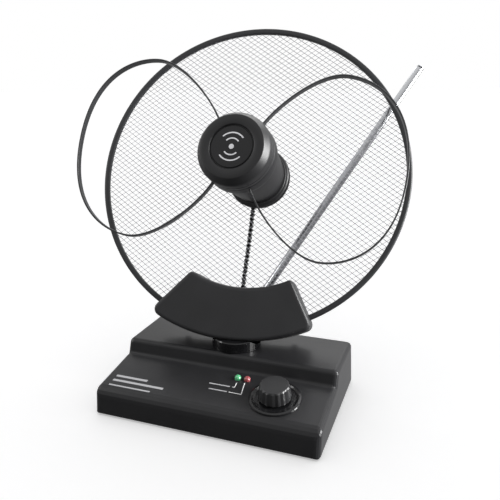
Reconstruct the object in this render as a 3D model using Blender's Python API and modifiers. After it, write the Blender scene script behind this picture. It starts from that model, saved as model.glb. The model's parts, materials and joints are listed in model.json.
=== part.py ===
"""Tabletop television aerial: an amplifier base that carries a tilting, swivelling mesh reflector.

The reflector has two flat loop ears on a turning hub, and a telescopic rod stands behind it.
Units are metres, +Z is up, -Y is the front, and the origin is under the middle of the base.
"""

import math

import bmesh
import bpy
from mathutils import Matrix, Vector

# Gaps between pieces
GAP = 0.0003

# Amplifier case
CASE_WIDTH = 0.1745
CASE_DEPTH = 0.116
CASE_BOTTOM = 0.0010
CASE_WALL = 0.0022
PANEL_FRONT_Z = 0.0206
PANEL_REAR_Z = 0.0278
CASE_TOP_Z = 0.0387
FRONT_LEAN = 0.0023
PANEL_REAR_Y = 0.0503 - CASE_DEPTH / 2
STEP_TOP_Y = 0.0543 - CASE_DEPTH / 2
TOP_REAR_Y = 0.1075 - CASE_DEPTH / 2
SKIRT_Z = -0.006
COVER_THICKNESS = 0.0022
FOOT_RADIUS = 0.0065
SCREW_PLACES = [(-0.072, -0.046), (0.072, -0.046), (-0.072, 0.044), (0.072, 0.044)]

# Control panel, measured from the panel's front edge along its slope
PANEL_FRONT_Y = FRONT_LEAN - CASE_DEPTH / 2
PANEL_TILT = math.atan2(PANEL_REAR_Z - PANEL_FRONT_Z, PANEL_REAR_Y - PANEL_FRONT_Y)
KNOB_X = 0.0477
KNOB_UP = 0.0253
KNOB_HEIGHT = 0.0123
KNOB_FLUTES = 18
BEZEL_RADIUS = 0.0192
LED_RADIUS = 0.0025
LED_PLACES = {"led_green": (0.0138, 0.0399), "led_red": (0.0212, 0.0401)}

# Rear sockets
SOCKETS = {"coax_output_socket": -0.052, "external_aerial_socket": -0.026}
SOCKET_Z = 0.018
SOCKET_RADIUS = 0.0060
SOCKET_BORE = 0.0047
POWER_X = 0.034

# Swivel neck and tilt hinge
NECK_Y = 0.0167
NECK_RADIUS = 0.0197
NECK_RIM_Z = 0.0472
SWIVEL_ANGLE = math.radians(8.13)
HINGE_HEIGHT = 0.0610
SADDLE_RADIUS = 0.0190
LUG_LEAN = math.radians(10)
LUG_HALF_WIDTH = 0.0040
LUG_HALF_THICKNESS = 0.0018
EYE_RADIUS = 0.0040
PIN_RADIUS = 0.0015

# Reflector
DISH_BACK = 0.0610
DISH_HEIGHT = 0.1655
DISH_LEAN = math.radians(25.48)
RIM_OUTER = 0.1318
RIM_INNER = 0.1273
RIM_HALF = 0.0020
SCREEN_HALF = 0.0003

# Cradle that grips the bottom of the rim, in the reflector's own axes
CRADLE_INNER = 0.0965
CRADLE_OUTER = 0.1392
CRADLE_ARC = (0.0040, -0.0093, 0.0875)
CRADLE_RIGHT_END = (0.0428, math.radians(27))
CRADLE_LEFT_END = (0.0392, math.radians(43))
CRADLE_CORNER = 0.0060
CRADLE_SHOULDER = 0.0034
CRADLE_FRONT = 0.0170
CRADLE_REAR = -0.0070
CRADLE_WALL = 0.0024
CRADLE_SPLIT = 0.0006
CRADLE_SCREWS = [(-0.045, -0.1277), (0.045, -0.1277)]

# Loop head: the hub stands a little off the reflector's centre and leans to the left
HUB_FOOT = (0.0077, -0.0032)
HUB_LEAN = (math.radians(-0.8), math.radians(-4.8))
HEAD_TURN = math.radians(-5.8)
HUB_FRONT = 0.0782
HUB_RADIUS = 0.0283
SEAM = 0.0623
EMBLEM_RADIUS = 0.0158
LOOP_CENTRE = (-0.00085, 0.00219)
LOOP_LEAN = (math.radians(2.36), math.radians(1.66))
LOOP_TURN = math.radians(-4.95)
LOOP_PLANE = 0.0595
RIBBON_WIDTH = 0.0050
RIBBON_THICKNESS = 0.0010
LOOP_DROOP = -0.0040
LOOP_START = (0.0123, 0.0163)
LOOP_LEAVE = (0.0159, 0.0329)
LOOP_TOP = (0.0721, 0.0691)
LOOP_FAR = 0.1244
LOOP_TAIL = 0.0050

# Telescopic rod, in the reflector's own axes
ROD_FOOT = (0.0093, -0.1080)
ROD_PLANE = -0.0165
ROD_ANGLE = math.radians(-31.0)
ROD_RADII = [0.0032, 0.0026, 0.0020, 0.0014, 0.0008]
ROD_ENDS = [0.2440, 0.2442, 0.2444, 0.2446, 0.2463]
ROD_WALL = 0.0003

# Feed cable, in the reflector's own axes
CABLE_RADIUS = 0.0016
CABLE_TOP = (0.0036, -0.0150, -0.0045)
CABLE_FOOT = (0.0004, -0.1020, -0.0042)


# ---------------------------------------------------------------- helpers

def clear_scene():
    for old in list(bpy.data.objects):
        bpy.data.objects.remove(old, do_unlink=True)


def new_collection(name):
    collection = bpy.data.collections.new(name)
    bpy.context.scene.collection.children.link(collection)
    return collection


def material(name, colour, roughness, metallic=0.0):
    made = bpy.data.materials.new(name)
    made.use_nodes = True
    shader = made.node_tree.nodes["Principled BSDF"]
    shader.inputs["Base Color"].default_value = (*colour, 1.0)
    shader.inputs["Roughness"].default_value = roughness
    shader.inputs["Metallic"].default_value = metallic
    return made


def frame(name, parent=None, location=(0, 0, 0), rotation=(0, 0, 0)):
    """An empty whose axes the pieces under it are modelled in."""
    empty = bpy.data.objects.new(name, None)
    guides.objects.link(empty)
    empty.location = location
    empty.rotation_euler = rotation
    empty.parent = parent
    return empty


def add_piece(name, mesh, look, parent=None, smooth=True):
    piece = bpy.data.objects.new(name, mesh)
    parts.objects.link(piece)
    piece.parent = parent
    own_look = looks[look].copy()
    own_look.name = name
    mesh.materials.append(own_look)
    if smooth:
        mesh.shade_smooth()
        mesh.set_sharp_from_angle(angle=math.radians(32))
    return piece


def add_cutter(name, mesh, parent=None):
    cutter = bpy.data.objects.new(name, mesh)
    cutters.objects.link(cutter)
    cutter.parent = parent
    cutter.hide_render = True
    cutter.display_type = "WIRE"
    return cutter


def mesh_from(bm, name, matrix=None):
    if matrix is not None:
        bm.transform(matrix)
    mesh = bpy.data.meshes.new(name)
    bm.to_mesh(mesh)
    bm.free()
    return mesh


def box_mesh(name, low, high):
    bm = bmesh.new()
    bmesh.ops.create_cube(bm, size=1.0)
    low, high = Vector(low), Vector(high)
    size = high - low
    return mesh_from(bm, name, Matrix.Translation((low + high) / 2) @ Matrix.Diagonal((*size, 1.0)))


def cone_mesh(name, radius_low, radius_high, low, high, at=(0, 0), sides=32, matrix=None):
    bm = bmesh.new()
    bmesh.ops.create_cone(bm, cap_ends=True, segments=sides, radius1=radius_low,
                          radius2=radius_high, depth=high - low)
    bmesh.ops.translate(bm, verts=bm.verts, vec=(at[0], at[1], (low + high) / 2))
    return mesh_from(bm, name, matrix)


def rod_mesh(name, radius, low, high, at=(0, 0), sides=32, matrix=None):
    return cone_mesh(name, radius, radius, low, high, at, sides, matrix)


def prism_mesh(name, outline, low, high, matrix=None):
    """A flat outline, as a filled 2D curve, given a thickness from low to high."""
    curve = bpy.data.curves.new(name, "CURVE")
    curve.dimensions = "2D"
    curve.fill_mode = "BOTH"
    curve.extrude = (high - low) / 2
    line = curve.splines.new("POLY")
    line.points.add(len(outline) - 1)
    for point, (x, y) in zip(line.points, outline):
        point.co = (x, y, 0, 1)
    line.use_cyclic_u = True
    holder = bpy.data.objects.new(name, curve)
    bpy.context.scene.collection.objects.link(holder)
    bpy.context.view_layer.update()
    solid = bpy.data.meshes.new_from_object(holder.evaluated_get(bpy.context.evaluated_depsgraph_get()))
    bpy.data.objects.remove(holder)
    bpy.data.curves.remove(curve)
    bm = bmesh.new()
    bm.from_mesh(solid)
    bpy.data.meshes.remove(solid)
    bmesh.ops.remove_doubles(bm, verts=bm.verts, dist=0.00001)
    bmesh.ops.dissolve_limit(bm, angle_limit=0.001, verts=bm.verts, edges=bm.edges)
    bmesh.ops.recalc_face_normals(bm, faces=bm.faces)
    bmesh.ops.translate(bm, verts=bm.verts, vec=(0, 0, (low + high) / 2))
    return mesh_from(bm, name, matrix)


def turned(name, profile, look, parent, steps=48, start=0.0):
    """A turned piece: the profile is (radius, height), down its outer side from the top."""
    bm = bmesh.new()
    points = [bm.verts.new((radius, 0, height)) for radius, height in profile]
    for first, second in zip(points, points[1:]):
        bm.edges.new((first, second))
    if profile[0][0] > 0:
        bm.edges.new((points[-1], points[0]))
    piece = add_piece(name, mesh_from(bm, name), look, parent, smooth=False)
    piece.rotation_euler.z = start
    screw = piece.modifiers.new("Turn", "SCREW")
    screw.axis = "Z"
    screw.steps = screw.render_steps = steps
    screw.use_merge_vertices = True
    screw.merge_threshold = 0.00001
    screw.use_smooth_shade = True
    return piece


def boolean(piece, cutter, operation="DIFFERENCE"):
    step = piece.modifiers.new(cutter.name, "BOOLEAN")
    step.operation = operation
    step.object = cutter
    return piece


def cut(piece, mesh, parent=None):
    return boolean(piece, add_cutter(mesh.name, mesh, parent))


def join(piece, mesh, parent=None):
    return boolean(piece, add_cutter(mesh.name, mesh, parent), "UNION")


def bevel(piece, width, segments=3, limit="ANGLE"):
    step = piece.modifiers.new("Round", "BEVEL")
    step.width = width
    step.segments = segments
    step.limit_method = limit
    if limit == "ANGLE":
        step.angle_limit = math.radians(40)
    return piece


def weigh_edges(mesh, weight_of):
    """Sets each edge's bevel weight from its two end points."""
    weights = mesh.attributes.new("bevel_weight_edge", "FLOAT", "EDGE")
    for edge in mesh.edges:
        first, second = (mesh.vertices[i].co for i in edge.vertices)
        weights.data[edge.index].value = weight_of(first, second)


def arc(radius, first, last, count, centre=(0, 0)):
    """Points on a circle from the first angle to the last."""
    steps = [first + (last - first) * i / count for i in range(count + 1)]
    return [(centre[0] + radius * math.cos(a), centre[1] + radius * math.sin(a)) for a in steps]


def inset(outline, distance):
    """The outline of an anticlockwise polygon, moved inwards by the distance."""
    lines = []
    for (x0, y0), (x1, y1) in zip(outline, outline[1:] + outline[:1]):
        length = math.hypot(x1 - x0, y1 - y0)
        ux, uy = (x1 - x0) / length, (y1 - y0) / length
        lines.append((x0 - uy * distance, y0 + ux * distance, ux, uy))
    moved = []
    for (ax, ay, aux, auy), (bx, by, bux, buy) in zip(lines[-1:] + lines[:-1], lines):
        along = ((bx - ax) * buy - (by - ay) * bux) / (aux * buy - auy * bux)
        moved.append((ax + aux * along, ay + auy * along))
    return moved


def rounded_box(half_x, half_y, radius, count=5):
    """An anticlockwise rectangle outline with round corners."""
    points = []
    for index, (sx, sy) in enumerate([(1, 1), (-1, 1), (-1, -1), (1, -1)]):
        centre = (sx * (half_x - radius), sy * (half_y - radius))
        points += arc(radius, index * math.pi / 2, (index + 1) * math.pi / 2, count, centre)
    return points


def bezier(first, leave, arrive, last, count):
    points = []
    for i in range(count + 1):
        t = i / count
        weights = ((1 - t) ** 3, 3 * t * (1 - t) ** 2, 3 * t * t * (1 - t), t ** 3)
        knots = (first, leave, arrive, last)
        points.append(tuple(sum(w * p[axis] for w, p in zip(weights, knots)) for axis in (0, 1)))
    return points


# ---------------------------------------------------------------- looks and frames

clear_scene()
parts = new_collection("tabletop_aerial")
cutters = new_collection("cutters")
guides = new_collection("guides")
scene_update = bpy.context.view_layer.update

looks = {
    "case_black": material("case_black", (0.016, 0.016, 0.018), 0.42),
    "gloss_black": material("gloss_black", (0.012, 0.012, 0.013), 0.15),
    "dark_grey": material("dark_grey", (0.045, 0.047, 0.050), 0.38),
    "mesh_wire": material("mesh_wire", (0.42, 0.43, 0.45), 0.35, 0.6),
    "rubber": material("rubber", (0.03, 0.03, 0.03), 0.8),
    "steel": material("steel", (0.55, 0.55, 0.56), 0.35, 1.0),
    "chrome": material("chrome", (0.72, 0.73, 0.75), 0.12, 1.0),
    "brass": material("brass", (0.70, 0.53, 0.26), 0.3, 1.0),
    "board": material("board", (0.05, 0.22, 0.11), 0.5),
    "green_lens": material("green_lens", (0.10, 0.62, 0.28), 0.15),
    "red_lens": material("red_lens", (0.60, 0.06, 0.05), 0.15),
    "emblem": material("emblem", (0.70, 0.70, 0.72), 0.3),
}

base_frame = frame("base_frame")
panel_frame = frame("panel_frame", base_frame, (0, PANEL_FRONT_Y, PANEL_FRONT_Z), (PANEL_TILT, 0, 0))
knob_pivot = frame("knob_pivot", panel_frame, (KNOB_X, KNOB_UP, 0))
swivel_pivot = frame("swivel_pivot", base_frame, (0, NECK_Y, 0), (0, 0, SWIVEL_ANGLE))
tilt_pivot = frame("tilt_pivot", swivel_pivot, (0, 0, HINGE_HEIGHT))
dish_frame = frame("dish_frame", tilt_pivot, (0, DISH_BACK, DISH_HEIGHT - HINGE_HEIGHT),
                   (math.pi / 2 - DISH_LEAN, 0, 0))
hub_foot = frame("hub_foot", dish_frame, (*HUB_FOOT, 0))
hub_frame = frame("hub_frame", hub_foot, (0, 0, 0), (*HUB_LEAN, 0))
head_pivot = frame("head_pivot", hub_frame, (0, 0, 0), (0, 0, HEAD_TURN))
rod_pivot = frame("rod_pivot", dish_frame, (*ROD_FOOT, ROD_PLANE), (0, 0, ROD_ANGLE))
rod_frame = frame("rod_frame", rod_pivot, (0, 0, 0), (-math.pi / 2, 0, 0))
scene_update()

# The loops keep nearly to the reflector's own plane, so their axes differ a little from the hub's.
loop_frame = frame("loop_frame", head_pivot)
loop_axes = Matrix.Rotation(LOOP_LEAN[1], 4, "Y") @ Matrix.Rotation(LOOP_LEAN[0], 4, "X")
loop_axes = Matrix.Translation((*LOOP_CENTRE, 0)) @ loop_axes @ Matrix.Rotation(LOOP_TURN, 4, "Z")
loop_frame.matrix_basis = head_pivot.matrix_world.inverted() @ dish_frame.matrix_world @ loop_axes
scene_update()

# The tilt hinge in the reflector's own axes: it lies along X at this height and depth.
hinge_y, hinge_z = (dish_frame.matrix_world.inverted() @ tilt_pivot.matrix_world.translation)[1:3]
ALONG_X = Matrix.Rotation(math.pi / 2, 4, "Y")
ALONG_Y = Matrix.Rotation(-math.pi / 2, 4, "X")


# ---------------------------------------------------------------- amplifier case

def case_outline(bottom):
    """The case's side view in (y, z), anticlockwise from the bottom front."""
    front = -CASE_DEPTH / 2
    front_slope = FRONT_LEAN / (PANEL_FRONT_Z - CASE_BOTTOM)
    rear_slope = (CASE_DEPTH / 2 - TOP_REAR_Y) / (CASE_TOP_Z - CASE_BOTTOM)
    drop = CASE_BOTTOM - bottom
    return [
        (front - drop * front_slope, bottom),
        (CASE_DEPTH / 2 + drop * rear_slope, bottom),
        (TOP_REAR_Y, CASE_TOP_Z),
        (STEP_TOP_Y, CASE_TOP_Z),
        (PANEL_REAR_Y, PANEL_REAR_Z),
        (PANEL_FRONT_Y, PANEL_FRONT_Z),
    ]


SIDE_VIEW = Matrix(((0, 0, 1, 0), (1, 0, 0, 0), (0, 1, 0, 0), (0, 0, 0, 1)))
FRONT_ROUND = 0.0065


def case_solid(name, shrink):
    """The case's outside, or the space inside its walls when it is shrunk by them."""
    outline = inset(case_outline(SKIRT_Z - 3 * shrink), shrink) if shrink else case_outline(CASE_BOTTOM)
    half = CASE_WIDTH / 2 - shrink
    mesh = prism_mesh(name, outline, -half, half, SIDE_VIEW)
    front_top, step_foot = outline[5], outline[4]

    def weight(first, second):
        if max(first.z, second.z) < SKIRT_Z + 0.0005:
            return 0.0
        if max(first.z, second.z) < CASE_BOTTOM + 0.0005:
            return 0.24
        along = abs(first.x - second.x) > half
        upright = abs(first.z - second.z) > 0.015 and max(first.z, second.z) < CASE_TOP_Z + 0.001
        if along and abs(first.y - front_top[0]) < 0.0001 and abs(first.z - front_top[1]) < 0.0001:
            return 1.0
        if along and abs(first.y - step_foot[0]) < 0.0001:
            return 0.30
        if along:
            return 0.42
        return 0.68 if upright else 0.55

    weigh_edges(mesh, weight)
    return mesh


def add_case():
    shell = add_piece("case_top_shell", case_solid("case_outside", 0.0), "case_black", base_frame)
    bevel(shell, FRONT_ROUND, 4, "WEIGHT")
    inside = add_cutter("case_inside", case_solid("case_inside", CASE_WALL), base_frame)
    bevel(inside, FRONT_ROUND * 0.8, 2, "WEIGHT")
    boolean(shell, inside)
    for index, (x, y) in enumerate(SCREW_PLACES):
        roof = PANEL_FRONT_Z + 0.0003 if y < 0 else CASE_TOP_Z - 0.0012
        join(shell, rod_mesh(f"boss_{index}", 0.0036, CASE_BOTTOM + 0.0028, roof, (x, y), 16), base_frame)
        cut(shell, rod_mesh(f"boss_hole_{index}", 0.0016, -0.01, 0.0160, (x, y), 16), base_frame)
    cut(shell, rod_mesh("neck_hole", 0.0086, 0.030, 0.050, (0, NECK_Y), 40), base_frame)
    cut(shell, rod_mesh("pot_hole", 0.0048, -0.008, 0.008, (0, 0), 32), knob_pivot)
    for name, place in LED_PLACES.items():
        cut(shell, rod_mesh(f"{name}_hole", LED_RADIUS + GAP, -0.006, 0.006, place, 24), panel_frame)
    for name, x in SOCKETS.items():
        cut(shell, rear_rod(f"{name}_hole", SOCKET_RADIUS + GAP, 0.040, 0.070, x, 32), base_frame)
    cut(shell, rear_rod("power_hole", 0.0044 + GAP, 0.040, 0.070, POWER_X, 28), base_frame)


def rear_rod(name, radius, low, high, x, sides):
    """A round bar along +Y through the rear wall."""
    turn = Matrix.Translation((x, 0, SOCKET_Z)) @ ALONG_Y
    return rod_mesh(name, radius, low, high, (0, 0), sides, turn)


def add_bottom():
    half_x = CASE_WIDTH / 2 - CASE_WALL - 0.0006
    half_y = CASE_DEPTH / 2 - CASE_WALL - 0.0008
    low, high = CASE_BOTTOM + 0.0002, CASE_BOTTOM + 0.0002 + COVER_THICKNESS
    plate = add_piece("bottom_cover", prism_mesh("bottom_cover", rounded_box(half_x, half_y, 0.006), low, high),
                      "case_black", base_frame, smooth=False)
    for index, (x, y) in enumerate([(-0.035, -0.030), (0.035, -0.030), (-0.035, 0.006), (0.035, 0.006)]):
        join(plate, rod_mesh(f"board_post_{index}", 0.0024, low + 0.001, 0.0085, (x, y), 12), base_frame)
    for index, place in enumerate(SCREW_PLACES):
        cut(plate, rod_mesh(f"cover_hole_{index}", 0.0018, -0.01, 0.02, place, 16), base_frame)
        cut(plate, rod_mesh(f"cover_recess_{index}", 0.0032, -0.01, low + 0.0012, place, 16), base_frame)
        head = rod_mesh(f"cover_screw_{index + 1}", 0.0029, low, low + 0.0009, place, 16)
        screw = add_piece(f"cover_screw_{index + 1}", head, "steel", base_frame)
        join(screw, rod_mesh(f"cover_shank_{index}", 0.00125, low + 0.0005, 0.0140, place, 12), base_frame)
        side = -1 if place[1] < 0 else 1
        foot = (place[0] * 0.86, place[1] + side * 0.001)
        add_piece(f"foot_{index + 1}", rod_mesh(f"foot_{index + 1}", FOOT_RADIUS, 0, low - GAP, foot, 24),
                  "rubber", base_frame)
    pad = prism_mesh("grip_pad", rounded_box(0.030, 0.018, 0.004), 0, low - GAP)
    add_piece("grip_pad", pad, "rubber", base_frame, smooth=False)
    ballast = box_mesh("ballast_plate", (-0.060, 0.028, high + GAP), (0.060, 0.050, high + GAP + 0.006))
    add_piece("ballast_plate", ballast, "steel", base_frame, smooth=False)
    board = box_mesh("circuit_board", (-0.042, -0.036, 0.0088), (0.042, 0.012, 0.0104))
    add_piece("circuit_board", board, "board", base_frame, smooth=False)


def add_sockets():
    for name, x in SOCKETS.items():
        outer = rear_rod(name, SOCKET_RADIUS, 0.042, 0.0610, x, 32)
        socket = add_piece(name, outer, "steel", base_frame)
        cut(socket, rear_rod(f"{name}_bore", SOCKET_BORE, 0.054, 0.080, x, 32), base_frame)
    power = add_piece("power_socket", rear_rod("power_socket", 0.0044, 0.044, 0.0580, POWER_X, 28),
                      "gloss_black", base_frame)
    cut(power, rear_rod("power_bore", 0.0029, 0.048, 0.080, POWER_X, 24), base_frame)
    join(power, rear_rod("power_contact", 0.0010, 0.046, 0.0565, POWER_X, 12), base_frame)


# ---------------------------------------------------------------- panel controls

def add_panel_controls():
    turned("gain_potentiometer", [
        (0.0033, 0.0062), (0.0044, 0.0062), (0.0044, -CASE_WALL - GAP), (0.0085, -CASE_WALL - GAP),
        (0.0085, -0.0098), (0.0033, -0.0098)], "steel", knob_pivot, 24)
    nut = add_piece("potentiometer_nut", rod_mesh("potentiometer_nut", 0.0074, 0.0010, 0.0030, (0, 0), 6),
                    "steel", knob_pivot)
    cut(nut, rod_mesh("nut_hole", 0.0047, -0.01, 0.01, (0, 0), 24), knob_pivot)
    turned("potentiometer_shaft", [(0, 0.0098), (0.0030, 0.0098), (0.0030, -0.0096), (0, -0.0096)],
           "brass", knob_pivot, 24)
    turned("knob_bezel", [
        (0.0052, 0.0007), (0.0150, 0.0007), (0.0160, 0.0009), (0.0170, 0.0017), (0.0176, 0.0017),
        (0.0188, 0.0012), (BEZEL_RADIUS, GAP), (0.0052, GAP)], "case_black", knob_pivot, 40)
    add_knob()
    for name, place in LED_PLACES.items():
        lens = [(0, 0.0030)]
        lens += [(LED_RADIUS * math.sin(a), 0.0008 + 0.0022 * math.cos(a))
                 for a in (math.radians(d) for d in (25, 50, 72, 90))]
        lens += [(LED_RADIUS, -0.0046), (0, -0.0046)]
        led = turned(name, lens, "green_lens" if name == "led_green" else "red_lens", panel_frame, 20)
        led.location = (*place, 0)


def add_knob():
    """A fluted knob with a recess underneath for the nut and a blind hole for the shaft."""
    foot, top = 0.0022, KNOB_HEIGHT
    ring_low, ring_high = [], []
    for index in range(KNOB_FLUTES * 4):
        angle = index * math.tau / (KNOB_FLUTES * 4)
        groove = 0.00055 * (1 - math.cos(angle * KNOB_FLUTES)) / 2
        ring_low.append((angle, 0.0121 - groove))
        ring_high.append((angle, 0.0110 - groove))
    bm = bmesh.new()
    levels = []
    for ring, height in ((ring_low, foot), (ring_high, top - 0.0010)):
        levels.append([bm.verts.new((r * math.cos(a), r * math.sin(a), height)) for a, r in ring])
    levels.append([bm.verts.new((0.0100 * math.cos(a), 0.0100 * math.sin(a), top)) for a, r in ring_high])
    for lower, upper in zip(levels, levels[1:]):
        for index in range(len(lower)):
            after = (index + 1) % len(lower)
            bm.faces.new((lower[index], lower[after], upper[after], upper[index]))
    bm.faces.new(levels[-1])
    bm.faces.new(levels[0][::-1])
    knob = add_piece("gain_knob", mesh_from(bm, "gain_knob"), "gloss_black", knob_pivot)
    cut(knob, rod_mesh("knob_recess", 0.0092, -0.002, 0.0068, (0, 0), 32), knob_pivot)
    cut(knob, rod_mesh("knob_bore", 0.0030 + GAP, 0.0, 0.0101, (0, 0), 24), knob_pivot)


# ---------------------------------------------------------------- swivel neck

def add_neck():
    """The glossy drum that turns on the case, with a saddle and a lug for the tilt hinge."""
    top = CASE_TOP_Z + GAP
    drum = turned("swivel_neck", [
        (0.0030, NECK_RIM_Z), (NECK_RADIUS - 0.0006, NECK_RIM_Z), (NECK_RADIUS, NECK_RIM_Z - 0.0006),
        (NECK_RADIUS, top), (0.0082, top), (0.0082, 0.0275), (0.0030, 0.0275)],
        "gloss_black", swivel_pivot, 48)
    saddle = rod_mesh("saddle", SADDLE_RADIUS + 0.0005, -0.03, 0.03, (0, 0), 72, ALONG_X)
    cut(drum, saddle, tilt_pivot)
    lug = box_mesh("lug", (-LUG_HALF_WIDTH, -LUG_HALF_THICKNESS, -SADDLE_RADIUS - 0.0020),
                   (LUG_HALF_WIDTH, LUG_HALF_THICKNESS, 0))
    lug.transform(Matrix.Rotation(-LUG_LEAN, 4, "X"))
    join(drum, lug, tilt_pivot)
    join(drum, rod_mesh("lug_eye", EYE_RADIUS, -LUG_HALF_WIDTH, LUG_HALF_WIDTH, (0, 0), 28, ALONG_X), tilt_pivot)
    cut(drum, rod_mesh("lug_bore", PIN_RADIUS + GAP, -0.01, 0.01, (0, 0), 20, ALONG_X), tilt_pivot)
    turned("swivel_nut", [(0.0085, 0.0345), (0.0130, 0.0345), (0.0130, 0.0305), (0.0085, 0.0305)],
           "gloss_black", swivel_pivot, 32)


# ---------------------------------------------------------------- cradle

def cradle_outline():
    """Part of a ring round the reflector's centre, with straight flared ends, anticlockwise."""
    right = cradle_half(1, *CRADLE_RIGHT_END)
    left = cradle_half(-1, *CRADLE_LEFT_END)
    return right + [(-x, y) for x, y in left[::-1]][1:-1]


def cradle_half(side, top_x, flare_angle):
    """One half of the outline, drawn to the right: bottom, flared end, and the arc on top."""
    arc_x, arc_y, arc_radius = CRADLE_ARC
    arc_x *= side
    flare = (math.sin(flare_angle), -math.cos(flare_angle))
    tip = Vector((top_x, arc_y - math.sqrt(arc_radius ** 2 - (top_x - arc_x) ** 2)))
    centre = corner_centre(tip, flare, CRADLE_OUTER, CRADLE_CORNER)
    touch = math.atan2(centre[1], centre[0])
    points = arc(CRADLE_OUTER, -math.pi / 2, touch, 14)
    points += arc(CRADLE_CORNER, touch, flare_angle, 5, centre)[1:]
    below = tip + Vector(flare) * CRADLE_SHOULDER
    last = math.atan2(tip.y - arc_y, tip.x - arc_x) - CRADLE_SHOULDER / arc_radius
    beside = Vector((arc_x + arc_radius * math.cos(last), arc_y + arc_radius * math.sin(last)))
    for step in range(5):
        t = step / 4
        spot = below * (1 - t) ** 2 + tip * 2 * t * (1 - t) + beside * t ** 2
        points.append((spot.x, spot.y))
    middle = -math.pi / 2 - math.asin(arc_x / arc_radius)
    return points + arc(arc_radius, last, middle, 10, (arc_x, arc_y))[1:]


def corner_centre(corner, flare, outer, radius):
    """The centre of the arc that joins the flared end to the outer circle."""
    start = (corner[0] + radius * flare[1], corner[1] - radius * flare[0])
    along = start[0] * flare[0] + start[1] * flare[1]
    rest = start[0] ** 2 + start[1] ** 2 - (outer - radius) ** 2
    t = -along + math.sqrt(along ** 2 - rest)
    return (start[0] + flare[0] * t, start[1] + flare[1] * t)


def below_barrel():
    """Everything under the hinge that lies outside the barrel the cradle turns on."""
    waste = box_mesh("below_barrel", (-0.10, hinge_y - 0.040, hinge_z - 0.045),
                     (0.10, hinge_y - 0.0010, hinge_z + 0.045))
    cutter = add_cutter("below_barrel", waste, dish_frame)
    barrel = rod_mesh("barrel", SADDLE_RADIUS, -0.2, 0.2, (0, 0), 64, hinge_matrix())
    cut(cutter, barrel, dish_frame)
    return cutter


def hinge_matrix():
    return Matrix.Translation((0, hinge_y, hinge_z)) @ ALONG_X


def add_cradle():
    waste = below_barrel()
    front_mesh = prism_mesh("cradle_front_shell", cradle_outline(), CRADLE_SPLIT, CRADLE_FRONT)
    weigh_edges(front_mesh, lambda a, b: 1.0 if min(a.z, b.z) > CRADLE_FRONT - 0.0001 else 0.0)
    front = add_piece("cradle_front_shell", front_mesh, "case_black", dish_frame)
    bevel(front, 0.0042, 4, "WEIGHT")
    pocket = prism_mesh("cradle_pocket", cradle_pocket_outline(), -0.01, CRADLE_FRONT - CRADLE_WALL)
    cut(front, pocket, dish_frame)
    rear_mesh = prism_mesh("cradle_rear_shell", cradle_outline(), CRADLE_REAR, -CRADLE_SPLIT)
    weigh_edges(rear_mesh, lambda a, b: 1.0 if max(a.z, b.z) < CRADLE_REAR + 0.0001 else 0.0)
    rear = add_piece("cradle_rear_shell", rear_mesh, "case_black", dish_frame)
    bevel(rear, 0.0018, 3, "WEIGHT")
    for shell in (front, rear):
        boolean(shell, waste)
        tag = shell.name
        cut(shell, rim_ring(f"{tag}_rim_groove", GAP), dish_frame)
        slot = box_mesh(f"{tag}_lug_slot", (-LUG_HALF_WIDTH - 0.0006, hinge_y - 0.040, hinge_z - 0.0110),
                        (LUG_HALF_WIDTH + 0.0006, hinge_y + 0.0046, hinge_z + 0.0052))
        cut(shell, slot, dish_frame)
        for index, place in enumerate(CRADLE_SCREWS):
            hole = rod_mesh(f"{tag}_screw_hole_{index}", 0.0016, -0.02, 0.0095, place, 16)
            cut(shell, hole, dish_frame)
    pin_hole = rod_mesh("pin_hole", PIN_RADIUS + GAP, -0.0153, 0.0153, (0, 0), 20, hinge_matrix())
    cut(front, pin_hole, dish_frame)
    cable_hole = rod_mesh("cable_hole", CABLE_RADIUS + 0.0004, -0.1040, -0.0800, (CABLE_FOOT[0], -CABLE_FOOT[2]),
                          16, ALONG_Y)
    cut(rear, cable_hole, dish_frame)
    cut(rear, rod_mesh("rod_hole", 0.0034, -0.02, 0.01, ROD_FOOT, 24), dish_frame)
    cut(rear, rod_mesh("rod_counterbore", 0.0057, -0.0029, 0.01, ROD_FOOT, 24), dish_frame)
    pin = rod_mesh("tilt_pin", PIN_RADIUS, -0.0150, 0.0150, (0, 0), 20, hinge_matrix())
    add_piece("tilt_pin", pin, "steel", dish_frame)
    for index, place in enumerate(CRADLE_SCREWS):
        name = f"cradle_screw_{index + 1}"
        head = rod_mesh(name, 0.0029, CRADLE_REAR - 0.0018, CRADLE_REAR - GAP, place, 16)
        screw = add_piece(name, head, "steel", dish_frame)
        join(screw, rod_mesh(f"cradle_shank_{index}", 0.0012, CRADLE_REAR - 0.001, 0.0088, place, 12), dish_frame)


def cradle_pocket_outline():
    """A hollow above the rim groove, inside the cradle's front."""
    half = math.radians(22)
    low = -math.pi / 2
    outer = arc(0.1090, low - half, low + half, 12)
    inner = arc(CRADLE_INNER + 0.0045, low + half * 0.94, low - half * 0.94, 12)
    return outer + inner


def rim_ring(name, extra):
    """The rim's own ring, or the groove for it when it is made larger."""
    bm = bmesh.new()
    half, outer, inner = RIM_HALF + extra, RIM_OUTER + extra, RIM_INNER - extra
    chamfer = 0.0008
    profile = [
        (inner, half), (outer - chamfer, half), (outer, half - chamfer), (outer, chamfer - half),
        (outer - chamfer, -half), (inner, -half)]
    rings = []
    steps = 96
    for index in range(steps):
        angle = index * math.tau / steps
        rings.append([bm.verts.new((r * math.cos(angle), r * math.sin(angle), z)) for r, z in profile])
    for index, ring in enumerate(rings):
        after = rings[(index + 1) % steps]
        for k in range(len(profile)):
            n = (k + 1) % len(profile)
            bm.faces.new((ring[k], ring[n], after[n], after[k]))
    bmesh.ops.recalc_face_normals(bm, faces=bm.faces)
    return mesh_from(bm, name)


# ---------------------------------------------------------------- reflector

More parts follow.
